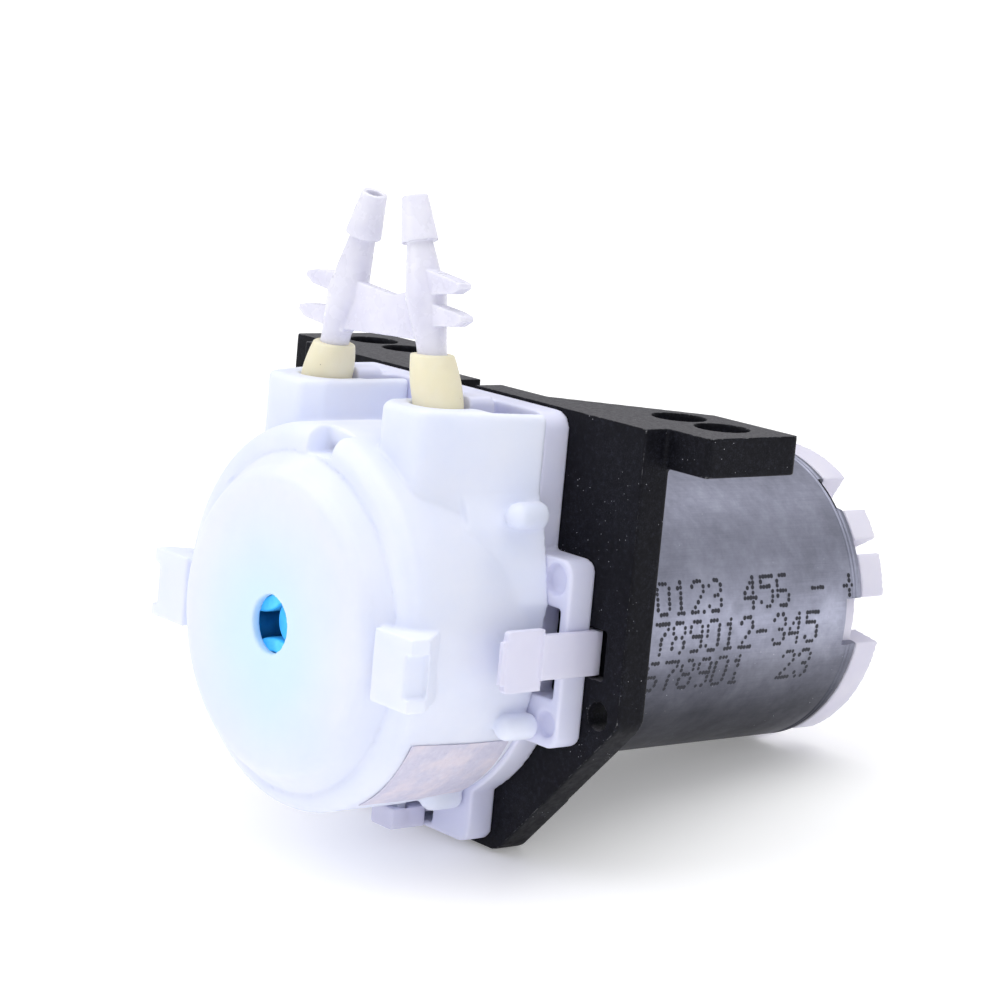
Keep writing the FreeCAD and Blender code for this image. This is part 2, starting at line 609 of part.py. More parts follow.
def front_bearing():
    return ring(5.5, BEARING_BORE_R, 1.2, 8.2)


def rear_bearing():
    return ring(5.0, BEARING_BORE_R, 64.2, 69.9)


def magnet():
    arc = ring(CAN_R - CAN_WALL, 20.4, 12, 52)
    return arc.common(wedge(CAN_R + 9, 12, 52, -66, 66))


def magnet_clip():
    arc = ring(CAN_R - CAN_WALL, 23.4, 15, 49)
    return arc.common(wedge(CAN_R + 9, 15, 49, 66, 114))


def armature_core():
    """Five-pole lamination stack."""
    hub = ring(7.0, SHAFT_R, 18, 46)
    poles = []
    tip_ring = ring(19.8, 16.8, 18, 46)
    for k in range(5):
        web = box(5.0, 17.5, 18, 46, -2.2, 2.2)
        poles += [turned(web, 72 * k), turned(tip_ring.common(wedge(30, 18, 46, -31, 31)), 72 * k)]
    return fuse([hub] + poles)


def armature_windings():
    """Copper in the five slots, joined by the end turns."""
    slots = ring(16.6, 7.2, 18, 46)
    for k in range(5):
        slots = slots.cut(turned(box(0, 20, 17, 47, -2.4, 2.4), 72 * k))
    ends = [ring(15.6, 5.6, 13.4, 18), ring(15.6, 5.6, 46, 50.6)]
    return fuse([slots] + ends)


def commutator():
    body = ring(6.2, SHAFT_R, 52.4, 61.0)
    slits = [turned(box(5.2, 8, 52, 61.5, -0.25, 0.25), 72 * k + 36) for k in range(5)]
    return cut(body, slits)


def brush_card():
    plate = ring(CAN_R - CAN_WALL - 0.1, 8.6, 61.4, 62.9)
    guides = []
    for side in (-1, 1):
        z0, z1 = sorted((side * 8.0, side * 20.0))
        tunnel = box(-2.4, 2.4, 55.0, 60.6, z0 - 1, z1 - 1 * (side > 0))
        guides.append(box(-3.4, 3.4, 54.2, 61.6, z0, z1).cut(tunnel))
    return fuse([plate] + guides)


def brush(side):
    z0, z1 = sorted((side * 6.3, side * 12.8))
    return box(-2.3, 2.3, 55.1, 60.5, z0, z1)


def brush_springs():
    coils = []
    for side in (-1, 1):
        helix = Part.makeHelix(1.2, 5.4, 1.7)
        wire = Part.Wire(helix)
        section = Part.Wire([Part.Circle(V(1.7, 0, 0), AXIS_Y, 0.25).toShape()])
        coil = wire.makePipeShell([section], True, True)
        coil.translate(V(0, 57.8, 13.0))
        if side < 0:
            coil.rotate(V(0, 57.8, 0), AXIS_Y, 180)
        coils.append(coil)
    return Part.makeCompound(coils)


def shaft_washers():
    return Part.makeCompound([ring(4.6, SHAFT_R, 8.5, 9.1), ring(4.6, SHAFT_R, 63.3, 63.9)])


def motor_terminals():
    return Part.makeCompound([box(s * 14 - 2.4, s * 14 + 2.4, 63.1, 75.4, -0.4, 0.4) for s in (-1, 1)])


def motor_screws():
    screws = []
    for side in (-1, 1):
        x = side * MOTOR_SCREW_X
        head = rod(2.8, SPLIT_Y + 0.6, SPLIT_Y + 2.4, x, 0)
        cross = [box(x - 1.6, x + 1.6, SPLIT_Y, SPLIT_Y + 1.6, -0.35, 0.35),
                 box(x - 0.35, x + 0.35, SPLIT_Y, SPLIT_Y + 1.6, -1.6, 1.6)]
        screws.append(cut(fuse([head, rod(1.5, SPLIT_Y + 2, 10.6, x, 0)]), cross))
    return Part.makeCompound(screws)


def build_nodes():
    side = side_latch()
    magnet_right = magnet()
    nodes = {
        "mounting_bracket": mounting_bracket(), "rear_housing": rear_housing(), "front_cover": front_cover(),
        "label_sticker": label_sticker(), "latch_right": side, "latch_left": mirror_x(side),
        "latch_bottom": foot_latch(), "pump_tube": pump_tube(), "twin_barb_connector": twin_barb_connector(),
        "carrier_front": carrier_front(), "carrier_rear": carrier_rear(), "drive_sleeve": drive_sleeve(),
        "carrier_washer": carrier_washer(), "motor_screws": motor_screws(), "motor_can": motor_can(),
        "motor_end_cap": motor_end_cap(), "motor_shaft": motor_shaft(), "front_bearing": front_bearing(),
        "rear_bearing": rear_bearing(), "magnet_right": magnet_right, "magnet_left": mirror_x(magnet_right),
        "magnet_clip": magnet_clip(), "armature_core": armature_core(), "armature_windings": armature_windings(),
        "commutator": commutator(), "brush_card": brush_card(), "brush_upper": brush(1), "brush_lower": brush(-1),
        "brush_springs": brush_springs(), "shaft_washers": shaft_washers(), "motor_terminals": motor_terminals(),
    }
    for k, degrees in enumerate(roller_angles(), start=1):
        nodes[f"roller_{k}"] = roller(degrees)
        nodes[f"roller_pin_{k}"] = roller_pin(degrees)
    return nodes


def main():
    os.makedirs("parts", exist_ok=True)
    for name, shape in build_nodes().items():
        shape.translate(V(0, -EAR_HOLE_Y, -PLATE_TOP))
        print(f"{name:22s} solids {len(shape.Solids)} valid {shape.isValid()} {shape.Volume:10.1f} mm3")
        shape.exportStep(os.path.join("parts", name + ".step"))


main()
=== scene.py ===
"""Looks of the peristaltic pump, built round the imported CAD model.

Lengths are millimetres until at() or MM turns them into Blender's metres. The pump frame used
for placing details has its origin where the pump axis meets the bracket plate's front face:
x to the right seen from the front, y towards the motor, z up.
"""

import math
import random

import bmesh
import bpy
import numpy as np
from mathutils import Matrix, Vector, noise


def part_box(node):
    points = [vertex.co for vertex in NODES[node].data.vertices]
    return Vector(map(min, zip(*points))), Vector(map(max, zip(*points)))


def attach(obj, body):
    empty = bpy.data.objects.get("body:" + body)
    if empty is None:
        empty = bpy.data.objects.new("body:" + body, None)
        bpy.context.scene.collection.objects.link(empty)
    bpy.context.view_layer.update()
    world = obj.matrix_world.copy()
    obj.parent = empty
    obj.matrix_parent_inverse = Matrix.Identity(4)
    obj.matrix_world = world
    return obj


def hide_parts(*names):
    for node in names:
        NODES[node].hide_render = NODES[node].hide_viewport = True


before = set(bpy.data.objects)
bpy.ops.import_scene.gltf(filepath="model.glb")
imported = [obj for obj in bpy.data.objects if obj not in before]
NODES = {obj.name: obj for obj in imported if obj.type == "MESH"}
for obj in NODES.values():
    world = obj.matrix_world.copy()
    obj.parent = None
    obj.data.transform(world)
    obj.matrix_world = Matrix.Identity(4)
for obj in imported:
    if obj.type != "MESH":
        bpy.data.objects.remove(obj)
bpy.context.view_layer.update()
MM = 0.001

shaft_low, shaft_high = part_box("motor_shaft")
plate_low, plate_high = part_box("mounting_bracket")
ORIGIN = Vector(((shaft_low.x + shaft_high.x) / 2, plate_low.y, (shaft_low.z + shaft_high.z) / 2))


def at(x, y, z):
    """A point of the pump frame, given in millimetres, as a point of the row frame in metres."""
    return ORIGIN + Vector((x, y, z)) * MM


# ---------------------------------------------------------------- materials
class Finish:
    """A procedural material: a Principled shader and the nodes that vary it over the surface."""

    def __init__(self, name, **sockets):
        self.material = bpy.data.materials.new(name)
        self.material.use_nodes = True
        self.tree = self.material.node_tree
        self.shader = self.tree.nodes["Principled BSDF"]
        for socket, value in sockets.items():
            self.shader.inputs[socket.replace("_", " ")].default_value = value
        self.place = self.add("ShaderNodeTexCoord").outputs["Object"]
        self.height = None

    def add(self, kind, inputs=(), **settings):
        made = self.tree.nodes.new(kind)
        for key, value in settings.items():
            setattr(made, key, value)
        for key, value in dict(inputs).items():
            if isinstance(value, bpy.types.NodeSocket):
                self.tree.links.new(value, made.inputs[key])
            else:
                made.inputs[key].default_value = value
        return made

    def to(self, socket, value):
        self.tree.links.new(value, self.shader.inputs[socket])
        return self

    def noise(self, scale, detail=3.0, roughness=0.55, stretch=(1, 1, 1), turn=(0, 0, 0)):
        """Noise of the given number of features a metre; stretch below 1 draws them out."""
        spot = self.add("ShaderNodeMapping", {"Vector": self.place, "Scale": stretch, "Rotation": turn})
        return self.add("ShaderNodeTexNoise", {"Vector": spot.outputs[0], "Scale": scale, "Detail": detail,
                                               "Roughness": roughness}).outputs["Fac"]

    def cells(self, scale, feature="F1"):
        made = self.add("ShaderNodeTexVoronoi", {"Vector": self.place, "Scale": scale}, feature=feature)
        return made.outputs["Distance"]

    def ramp(self, value, *stops):
        """Colour ramp with (position, colour) stops; a plain number stands for a grey."""
        made = self.add("ShaderNodeValToRGB", {"Fac": value})
        bar = made.color_ramp
        while len(bar.elements) < len(stops):
            bar.elements.new(0.5)
        for element, (position, colour) in zip(bar.elements, stops):
            element.position = position
            grey = isinstance(colour, (int, float))
            element.color = (colour, colour, colour, 1) if grey else (*colour, 1)
        return made.outputs["Color"]

    def span(self, value, low, high, new_low=0.0, new_high=1.0):
        """Maps low..high onto new_low..new_high, clamped at both ends."""
        made = self.add("ShaderNodeMapRange", {"Value": value, "From Min": low, "From Max": high,
                                               "To Min": new_low, "To Max": new_high})
        return made.outputs["Result"]

    def mix(self, factor, a, b, blend="MIX"):
        made = self.add("ShaderNodeMix", data_type="RGBA", blend_type=blend)
        for index, value in ((0, factor), (6, a), (7, b)):
            if isinstance(value, bpy.types.NodeSocket):
                self.tree.links.new(value, made.inputs[index])
            elif index == 0:
                made.inputs[index].default_value = value
            else:
                made.inputs[index].default_value = (*value, 1)
        return made.outputs[2]

    def combine(self, operation, a, b):
        return self.add("ShaderNodeMath", {0: a, 1: b}, operation=operation).outputs[0]

    def axis(self, source, letter):
        return self.add("ShaderNodeSeparateXYZ", {0: source}).outputs[letter]

    def normal(self):
        return self.add("ShaderNodeNewGeometry").outputs["Normal"]

    def pointiness(self):
        return self.add("ShaderNodeNewGeometry").outputs["Pointiness"]

    def bump(self, height, strength, distance_mm):
        """Adds a layer of bump; later layers ride on the earlier ones."""
        made = self.add("ShaderNodeBump", {"Height": height, "Strength": strength,
                                           "Distance": distance_mm * MM})
        if self.height is not None:
            self.tree.links.new(self.height, made.inputs["Normal"])
        self.height = made.outputs["Normal"]
        self.tree.links.new(self.height, self.shader.inputs["Normal"])
        return self


def milky(name, light, shade, translucency=0.25, painted_rotor_glow=False):
    """Bright translucent moulded plastic with slow tint changes and a fine spark-eroded skin; with
    painted_rotor_glow the dome front near the axis gets a painted blue glow of the rollers lit through the
    cover.
    """
    f = Finish(name, Subsurface_Weight=translucency, Subsurface_Scale=3.0 * MM,
               Subsurface_Radius=(0.8, 0.9, 1.0), Specular_IOR_Level=0.42, IOR=1.49)
    cloud = f.noise(70, 4)
    colour = f.mix(f.span(cloud, 0.35, 0.65), light, shade)
    if painted_rotor_glow:
        # Painted light: a pale blue glow on the dome front, strongest round the axis, stands in for the
        # blue rollers lit through the cover.
        spot = f.add("ShaderNodeVectorMath", {0: f.place, 1: at(0, 0, -2)}, operation="SUBTRACT").outputs[0]
        flat = f.add("ShaderNodeVectorMath", {0: spot, 1: (1, 0, 1)}, operation="MULTIPLY").outputs[0]
        far = f.add("ShaderNodeVectorMath", {0: flat}, operation="LENGTH").outputs["Value"]
        wavy = f.combine("ADD", far, f.span(f.noise(45, 2), 0.3, 0.7, -2.2 * MM, 2.2 * MM))
        inner = f.ramp(f.span(wavy, 2 * MM, 22 * MM), (0.0, 0.75), (0.35, 0.62), (0.7, 0.25), (1.0, 0.0))
        front = f.span(f.axis(f.place, "Y"), at(0, -33.0, 0).y, at(0, -34.2, 0).y)
        colour = f.mix(f.combine("MULTIPLY", inner, front), colour, (0.60, 0.84, 1.0))
    f.to("Base Color", colour)
    f.to("Roughness", f.span(f.noise(260, 4), 0.3, 0.7, 0.36, 0.5))
    f.bump(f.noise(2600, 2), 0.06, 0.05)
    f.bump(f.noise(120, 2), 0.05, 0.3)
    return f.material


def black_plastic():
    """Glass-filled black moulding: speckled skin with a dusty bloom, upward faces painted pale as a painted
    sheen of light from above, and a broken pale line on convex edges as a painted edge highlight.
    """
    f = Finish("black_glass_filled_nylon", Specular_IOR_Level=0.09)
    grain = f.noise(1500, 5, 0.65)
    base = f.ramp(grain, (0.32, (0.003, 0.003, 0.005)), (0.55, (0.006, 0.006, 0.009)),
                  (0.78, (0.018, 0.019, 0.029)))
    dust = f.noise(3800, 3, 0.7)
    cloud = f.span(f.noise(110, 3), 0.4, 0.62)
    bloom = f.combine("MULTIPLY", f.span(dust, 0.5, 0.75), cloud)
    base = f.mix(f.combine("MULTIPLY", bloom, 0.25), base, (0.08, 0.085, 0.12))
    # Painted sheen: upward faces are painted pale and speckled for light from above glancing off them.
    top_sheen_mask = f.span(f.axis(f.normal(), "Z"), 0.7, 0.97)
    painted_top_sheen = f.ramp(f.noise(2600, 4, 0.75), (0.3, (0.03, 0.03, 0.034)), (0.6, (0.12, 0.117, 0.128)),
                   (0.8, (0.30, 0.29, 0.31)))
    base = f.mix(f.combine("MULTIPLY", top_sheen_mask, 0.85), base, painted_top_sheen)
    patches = f.span(f.noise(160, 2), 0.52, 0.6)
    specks = f.combine("MULTIPLY", f.span(f.cells(1100), 0.10, 0.06), patches)
    base = f.mix(f.combine("MULTIPLY", specks, 0.8), base, (0.5, 0.5, 0.55))
    # Painted edge highlight: a broken pale line is painted along convex edges.
    edge_highlight_breaks = f.span(f.noise(900, 4, 0.7), 0.48, 0.62)
    painted_edge_highlight = f.combine("MULTIPLY", f.span(f.pointiness(), 0.535, 0.57), edge_highlight_breaks)
    base = f.mix(f.combine("MULTIPLY", painted_edge_highlight, 0.8), base, (0.34, 0.34, 0.36))
    f.to("Base Color", base)
    f.to("Roughness", f.span(f.noise(900, 3), 0.3, 0.7, 0.42, 0.6))
    f.bump(grain, 0.22, 0.06)
    f.bump(f.noise(260, 3), 0.08, 0.12)
    return f.material


def zinc_steel():
    """Zinc-plated deep-drawn can: soft spangle and fine drawing lines along the motor, with painted shade
    (much darker on faces turned down, a little darker on faces turned up) and small painted glints.
    """
    f = Finish("zinc_plated_steel", Metallic=0.9)
    lines = f.noise(5200, 3, 0.6, (1, 0.02, 1))
    spangle = f.noise(420, 5, 0.7)
    cloud = f.noise(65, 5, 0.65)
    tone = f.combine("ADD", f.span(spangle, 0.3, 0.7, -0.2, 0.2), f.span(lines, 0.35, 0.65, 0.44, 0.56))
    tone = f.combine("ADD", tone, f.span(cloud, 0.35, 0.65, -0.32, 0.32))
    colour = f.ramp(tone, (0.0, (0.29, 0.30, 0.375)), (0.5, (0.40, 0.41, 0.52)),
                    (1.0, (0.54, 0.555, 0.68)))
    # Painted shade: the colour is darkened by the normal's height, much on faces turned down and a little
    # on faces turned up.
    shade_by_facing = f.span(f.axis(f.normal(), "Z"), -1.0, 1.0)
    painted_facing_shade = f.ramp(shade_by_facing, (0.0, 0.12), (0.2, 0.18), (0.36, 0.40), (0.52, 1.0), (0.78, 0.78), (1.0, 0.7))
    colour = f.mix(1.0, colour, painted_facing_shade, "MULTIPLY")
    # Painted glints: small bright spots painted into the colour.
    painted_glints = f.combine("MULTIPLY", f.span(f.cells(900), 0.07, 0.03), f.span(f.noise(90, 2), 0.55, 0.6))
    colour = f.mix(painted_glints, colour, (0.85, 0.87, 0.93))
    f.to("Base Color", colour)
    f.to("Roughness", f.span(tone, 0.1, 0.9, 0.52, 0.42))
    f.bump(lines, 0.04, 0.02)
    f.bump(spangle, 0.10, 0.03)
    f.bump(f.noise(40, 2), 0.10, 0.25)
    return f.material


def rubber_tube():
    """Pale yellow peristaltic tube, slightly waxy and dusty."""
    f = Finish("pale_yellow_tube", Subsurface_Weight=0.3, Subsurface_Scale=2.0 * MM,
               Subsurface_Radius=(1.0, 0.85, 0.55), Specular_IOR_Level=0.35)
    colour = f.mix(f.span(f.noise(130, 4), 0.35, 0.65), (0.85, 0.79, 0.60), (0.81, 0.745, 0.53))
    specks = f.combine("MULTIPLY", f.span(f.cells(700), 0.08, 0.05), f.span(f.noise(200, 2), 0.58, 0.62))
    colour = f.mix(specks, colour, (0.45, 0.40, 0.28))
    f.to("Base Color", colour)
    f.to("Roughness", f.span(f.noise(400, 3), 0.3, 0.7, 0.45, 0.6))
    f.bump(f.noise(900, 3), 0.08, 0.06)
    return f.material


def clear_plastic():
    """Natural polypropylene: cloudy, half clear, glossy."""
    f = Finish("natural_polypropylene", Subsurface_Weight=0.35, Subsurface_Scale=2.0 * MM,
               Subsurface_Radius=(0.9, 0.9, 1.0), IOR=1.49)
    colour = f.mix(f.span(f.noise(160, 3), 0.35, 0.65), (0.79, 0.78, 0.88), (0.71, 0.70, 0.82))
    f.to("Base Color", colour)
    f.to("Roughness", f.span(f.noise(300, 3), 0.3, 0.7, 0.2, 0.34))
    f.bump(f.noise(350, 2), 0.03, 0.06)
    return f.material


def paper_label():
    """Blank off-white paper with a faint blush and fine crinkles."""
    f = Finish("blank_paper_label", Specular_IOR_Level=0.3)
    fibre = f.noise(900, 5, 0.6)
    colour = f.ramp(fibre, (0.3, (0.60, 0.58, 0.72)), (0.55, (0.65, 0.63, 0.76)),
                    (0.75, (0.71, 0.70, 0.82)))
    blush = f.span(f.noise(190, 3), 0.45, 0.65)
    colour = f.mix(f.combine("MULTIPLY", blush, 0.5), colour, (0.86, 0.76, 0.80))
    f.to("Base Color", colour)
    f.to("Roughness", f.span(fibre, 0.3, 0.7, 0.55, 0.75))
    f.bump(fibre, 0.15, 0.05)
    f.bump(f.noise(380, 5, 0.7), 0.8, 0.35)
    return f.material


def simple(name, low, high, scale, rough, metallic=0.0, stretch=(1, 1, 1), bump=0.1, bump_mm=0.05):
    """Two-tone finish with matching roughness and bump, for pieces seen small or inside."""
    f = Finish(name, Metallic=metallic)
    grain = f.noise(scale, 4, 0.6, stretch)
    f.to("Base Color", f.mix(f.span(grain, 0.35, 0.65), low, high))
    f.to("Roughness", f.span(grain, 0.3, 0.7, rough[0], rough[1]))
    f.bump(grain, bump, bump_mm)
    return f.material


HEAD = milky("milky_lavender_cover", (0.81, 0.84, 0.98), (0.76, 0.80, 0.97), 0.3, painted_rotor_glow=True)
HOUSING = milky("milky_lavender_housing", (0.77, 0.78, 0.95), (0.72, 0.73, 0.93), 0.25)
LATCH = milky("white_acetal_latch", (0.74, 0.73, 0.88), (0.68, 0.67, 0.85), 0.15)
CAP = milky("white_end_cap", (0.74, 0.72, 0.81), (0.67, 0.65, 0.78), 0.15)
BLACK = black_plastic()
STEEL = zinc_steel()
TUBE = rubber_tube()
CLEAR = clear_plastic()
LABEL = paper_label()
BLUE = simple("sky_blue_roller", (0.04, 0.42, 0.80), (0.08, 0.52, 0.90), 500, (0.3, 0.42))
DEEP_BLUE = simple("blue_drive_sleeve", (0.01, 0.30, 0.75), (0.03, 0.38, 0.82), 600, (0.35, 0.5))
CARRIER = simple("mid_blue_carrier", (0.01, 0.30, 0.75), (0.03, 0.38, 0.84), 400, (0.3, 0.45))
WASHER = simple("white_nylon_washer", (0.80, 0.78, 0.82), (0.86, 0.84, 0.88), 400, (0.35, 0.5))
BRIGHT_STEEL = simple("ground_steel", (0.55, 0.55, 0.57), (0.68, 0.68, 0.70), 2600, (0.18, 0.3), 1.0,
                      (1, 0.03, 1))
LAMINATE = simple("lamination_steel", (0.16, 0.16, 0.17), (0.34, 0.34, 0.36), 1900, (0.35, 0.5), 1.0,
                  (0.02, 1, 0.02), 0.5, 0.15)
COPPER = simple("enamelled_copper", (0.45, 0.13, 0.04), (0.72, 0.28, 0.10), 2100, (0.22, 0.35), 1.0,
                (0.15, 1, 0.15), 0.7, 0.2)
FERRITE = simple("ferrite_magnet", (0.03, 0.03, 0.032), (0.07, 0.07, 0.075), 900, (0.55, 0.75), bump=0.3)
BRASS = simple("brushed_brass", (0.55, 0.38, 0.14), (0.72, 0.53, 0.24), 1500, (0.25, 0.4), 1.0)
CARBON = simple("carbon_brush", (0.02, 0.02, 0.022), (0.06, 0.06, 0.065), 1600, (0.6, 0.8), bump=0.3)
CARD = simple("phenolic_card", (0.20, 0.09, 0.04), (0.30, 0.15, 0.07), 700, (0.5, 0.65))
BRONZE = simple("sintered_bronze", (0.36, 0.22, 0.10), (0.52, 0.34, 0.17), 2400, (0.4, 0.6), 1.0, bump=0.4)
INK = simple("black_marking_ink", (0.010, 0.011, 0.020), (0.025, 0.026, 0.042), 1800, (0.45, 0.7))


# ---------------------------------------------------------------- building pieces
def new_piece(name, mesh, material, body, replaced=(), smooth=True):
    """Links a finished mesh, given in row-frame metres, and lets it ride on its body."""
    piece = bpy.data.objects.new(name, mesh)
    bpy.context.scene.collection.objects.link(piece)
    mesh.materials.clear()
    mesh.materials.append(material)
    if smooth:
        mesh.polygons.foreach_set("use_smooth", [True] * len(mesh.polygons))
    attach(piece, body)
    if replaced:
        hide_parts(*replaced)
    return piece


def remeshed(node, voxel, rounds, faces, reshape=None):
    """The node's mesh with every edge rounded as a moulding's: voxels, smoothing, then thinning."""
    work = bpy.data.objects.new("work", NODES[node].data.copy())
    bpy.context.scene.collection.objects.link(work)
    voxels = work.modifiers.new("voxels", "REMESH")
    voxels.mode = "VOXEL"
    voxels.voxel_size = voxel * MM
    if rounds:
        soften = work.modifiers.new("soften", "SMOOTH")
        soften.factor = 0.5
        soften.iterations = rounds
    graph = bpy.context.evaluated_depsgraph_get()
    mesh = bpy.data.meshes.new_from_object(work.evaluated_get(graph))
    if reshape:
        points = np.zeros(len(mesh.vertices) * 3)
        mesh.vertices.foreach_get("co", points)
        points = (points.reshape(-1, 3) - np.array(ORIGIN)) / MM
        points = reshape(points) * MM + np.array(ORIGIN)
        mesh.vertices.foreach_set("co", points.ravel())
    if len(mesh.polygons) * 2 > faces:
        work.modifiers.clear()
        work.data = mesh
        thin = work.modifiers.new("thin", "DECIMATE")
        thin.ratio = faces / (len(mesh.polygons) * 2)
        graph = bpy.context.evaluated_depsgraph_get()
        mesh = bpy.data.meshes.new_from_object(work.evaluated_get(graph))
    bpy.data.objects.remove(work)
    return mesh


def moulded(node, body, material, voxel, rounds, faces, reshape=None):
    mesh = remeshed(node, voxel, rounds, faces, reshape)
    return new_piece(node + "_moulded", mesh, material, body, (node,))


def lathe_mesh(name, outline, columns):
    """Closed lathe about the pump axis. Columns are (degrees, end in y): a column's outline stops at
    its end, so a step between two columns at one angle is a notch wall."""
    mesh = bpy.data.meshes.new(name)
    bm = bmesh.new()
    grid = []
    for degrees, end in columns:
        a = math.radians(degrees)
        grid.append([bm.verts.new(at(r * math.cos(a), min(y, end), r * math.sin(a))) for r, y in outline])
    n = len(outline)
    for k, column in enumerate(grid):
        following = grid[(k + 1) % len(grid)]
        for j in range(n):
            bm.faces.new((column[j], column[(j + 1) % n], following[(j + 1) % n], following[j]))
    bmesh.ops.remove_doubles(bm, verts=bm.verts, dist=0.002 * MM)
    bmesh.ops.recalc_face_normals(bm, faces=bm.faces)
    bm.to_mesh(mesh)
    bm.free()
    return mesh


# ---------------------------------------------------------------- head
PORT_X, PORT_Y = 14.8, -16.9
TUBE_FREE_Z, TUBE_LEAN_Z = 34.0, 37.0
# side, height and factor of the swelling, height and factor at the cut, lean, slope of the cut
TUBE_ENDS = ((-1, 37.6, 1.04, 42.6, 0.84, 1.4, -0.09), (1, 39.6, 1.02, 44.6, 0.86, 2.6, 0.05))


def tube_shape(points):
    """Free tube ends: gently swollen at the port, drawn in towards slightly slanting cuts."""
    for side, swell_z, swell, tip_z, tip, lean, slant in TUBE_ENDS:
        near = (np.abs(points[:, 0] - side * 14.0) < 7) & (points[:, 2] > TUBE_FREE_Z)
        z = points[near, 2]
        middle = side * (PORT_X - lean * np.clip((z - TUBE_LEAN_Z) / (tip_z - TUBE_LEAN_Z), 0, None))
        centre = np.stack((middle, np.full(len(z), PORT_Y)), axis=1)
        up = np.clip((z - TUBE_FREE_Z) / (swell_z - TUBE_FREE_Z), 0, 1)
        down = np.clip((z - swell_z) / (tip_z - swell_z), 0, 1)
        factor = 1 + (swell - 1) * (up * up * (3 - 2 * up)) + (tip - swell) * down ** 1.6
        points[near, :2] = centre + (points[near, :2] - centre) * factor[:, None]
        points[near, 2] = z + slant * (points[near, 0] - middle) * down
    return points


moulded("front_cover", "root", HEAD, 0.3, 8, 190000)
moulded("rear_housing", "root", HOUSING, 0.3, 5, 150000)
moulded("pump_tube", "root", TUBE, 0.3, 4, 60000, tube_shape)
moulded("twin_barb_connector", "root", CLEAR, 0.16, 5, 110000)
for latch in ("latch_right", "latch_left", "latch_bottom"):
    moulded(latch, latch, LATCH, 0.16, 3, 30000)
moulded("mounting_bracket", "root", BLACK, 0.3, 3, 180000)
moulded("motor_end_cap", "root", CAP, 0.3, 2, 110000)
for k in (1, 2, 3):
    moulded(f"roller_{k}", f"roller_{k}", BLUE, 0.25, 2, 40000)


DRUM_R, DRUM_RISE = 31.0, 0.7
TAPER_Y, TAPER_SLOPE = -15.0, 0.04
STICKER_FRONT, STICKER_LENGTH = -26.5, 20.2
STICKER_LOW_DEG, STICKER_TOP_DEG, STICKER_SKEW_DEG = -59.6, -27.2, 2.6
STICKER_FACES = (0.08, 0.18)


def sticker_mesh():
    """Paper patch on the drum: skewed top edge, soft crinkles, closed at a tenth of a millimetre thick."""
    mesh = bpy.data.meshes.new("sticker")
    bm = bmesh.new()
    rows, columns = 60, 40
    layers = []
    for lift in STICKER_FACES:
        grid = []
        for i in range(rows + 1):
            along = i / rows
            y = STICKER_FRONT + STICKER_LENGTH * along
            top = STICKER_TOP_DEG - STICKER_SKEW_DEG * along
            drum = DRUM_R - TAPER_SLOPE * max(0.0, y - TAPER_Y)
            line = []
            for j in range(columns + 1):
                across = j / columns
                degrees = STICKER_LOW_DEG + (top - STICKER_LOW_DEG) * across
                spot = Vector((y * 0.16, degrees * 0.11, 3.0))
                crinkle = 0.09 * noise.noise(spot) + 0.05 * noise.noise(spot * 3.1)
                r = drum + lift + crinkle
                a = math.radians(degrees)
                line.append(bm.verts.new(at(r * math.cos(a), y, DRUM_RISE + r * math.sin(a))))
            grid.append(line)
        layers.append(grid)
    under, over = layers
    for i in range(rows):
        for j in range(columns):
            bm.faces.new((over[i][j], over[i + 1][j], over[i + 1][j + 1], over[i][j + 1]))
            bm.faces.new((under[i][j], under[i][j + 1], under[i + 1][j + 1], under[i + 1][j]))
    for i in range(rows):
        for j in (0, columns):
            bm.faces.new((under[i][j], under[i + 1][j], over[i + 1][j], over[i][j]))
    for j in range(columns):
        for i in (0, rows):
            bm.faces.new((under[i][j], over[i][j], over[i][j + 1], under[i][j + 1]))
    bmesh.ops.recalc_face_normals(bm, faces=bm.faces)
    bm.to_mesh(mesh)
    bm.free()
    return mesh


sticker = new_piece("label_sticker_paper", sticker_mesh(), LABEL, "root", ("label_sticker",))
sticker.data.set_sharp_from_angle(angle=math.radians(50))


# ---------------------------------------------------------------- motor
CAN_R, CAN_WALL, CAN_FRONT, CAN_BACK = 26.0, 1.6, 5.4, 70.7
CAN_ROUND = 1.4
PILOT_R, PILOT_FRONT, BEARING_SEAT_R = 7.5, 0.4, 5.5
GROOVES_Y = (68.5, 69.3)
# start and end in degrees, and the y where the can's wall stops between them
DEEP_NOTCH = (-9.8, 8.1, 66.9)
SHALLOW_NOTCH = (43.0, 58.4, 69.3)
UNCUT = 90.0


def can_outline():
    """Closed half section as (radius, y): front round, wall, crimp grooves, rim, then the inside."""
    shoulder = [(CAN_R - CAN_ROUND * (1 - math.sin(a)), CAN_FRONT + CAN_ROUND * (1 - math.cos(a)))
                for a in [math.radians(15 * k) for k in range(7)]]
    bead = []
    for groove_y in GROOVES_Y:
        bead += [(CAN_R, groove_y - 0.34), (CAN_R - 0.16, groove_y - 0.16), (CAN_R - 0.2, groove_y),
                 (CAN_R - 0.16, groove_y + 0.16), (CAN_R, groove_y + 0.34)]
    bead += [(CAN_R, 70.2), (CAN_R - 0.2, 70.55), (CAN_R - 0.5, CAN_BACK)]
    inner_r = CAN_R - CAN_WALL
    inside = [(inner_r, CAN_BACK), (inner_r, CAN_FRONT + 2), (BEARING_SEAT_R, CAN_FRONT + 2),
              (BEARING_SEAT_R, PILOT_FRONT), (PILOT_R - 0.2, PILOT_FRONT), (PILOT_R, PILOT_FRONT + 0.2),
              (PILOT_R, CAN_FRONT)]
    walls = [(CAN_R, 12.0), (CAN_R, 24.0), (CAN_R, 36.0), (CAN_R, 50.0)]
    return shoulder + walls + bead + inside


